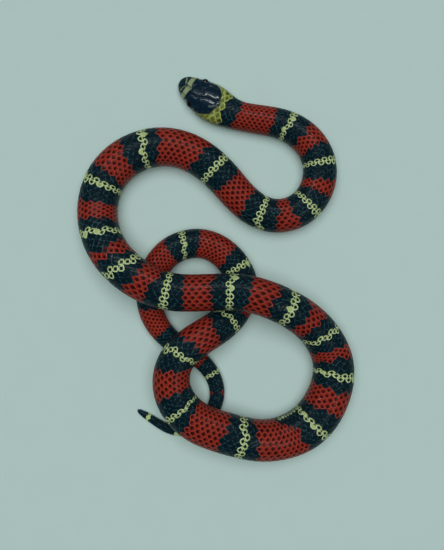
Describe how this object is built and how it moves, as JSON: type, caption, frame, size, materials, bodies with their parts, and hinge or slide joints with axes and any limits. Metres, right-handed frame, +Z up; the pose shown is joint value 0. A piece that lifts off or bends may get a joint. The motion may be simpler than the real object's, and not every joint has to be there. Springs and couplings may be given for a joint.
{
  "type": "milk snake",
  "caption": "Life-size still model of a young milk snake lying in three crossing loops, with a round banded body, small blunt head and fine tapering tail.",
  "frame": {"origin": "centre of the bounding box in plan, at the floor under the belly", "axes": "+Z up from the floor, +Y along the longest side of the coils towards the head, as in the top view"},
  "size_m": [0.1053, 0.1467, 0.0228],
  "materials": {
    "head_scales": "smooth glossy black shields, with pale yellow across the snout and behind the head",
    "body_scales": "satin overlapping scales in red, black and pale yellow rings, the belly paler",
    "eye": "polished dark eye under a clear cap"
  },
  "bodies": {
    "root": {"head": "head_scales", "lower_jaw": "head_scales", "eye_left": "eye", "eye_right": "eye", "neck": "body_scales", "body_01": "body_scales", "body_02": "body_scales", "body_03": "body_scales", "body_04": "body_scales", "body_05": "body_scales", "body_06": "body_scales", "body_07": "body_scales", "body_08": "body_scales", "body_09": "body_scales", "body_10": "body_scales", "body_11": "body_scales", "body_12": "body_scales", "body_13": "body_scales", "body_14": "body_scales", "body_15": "body_scales", "tail_base": "body_scales", "tail_middle": "body_scales", "tail_tip": "body_scales"}
  },
  "joints": []
}
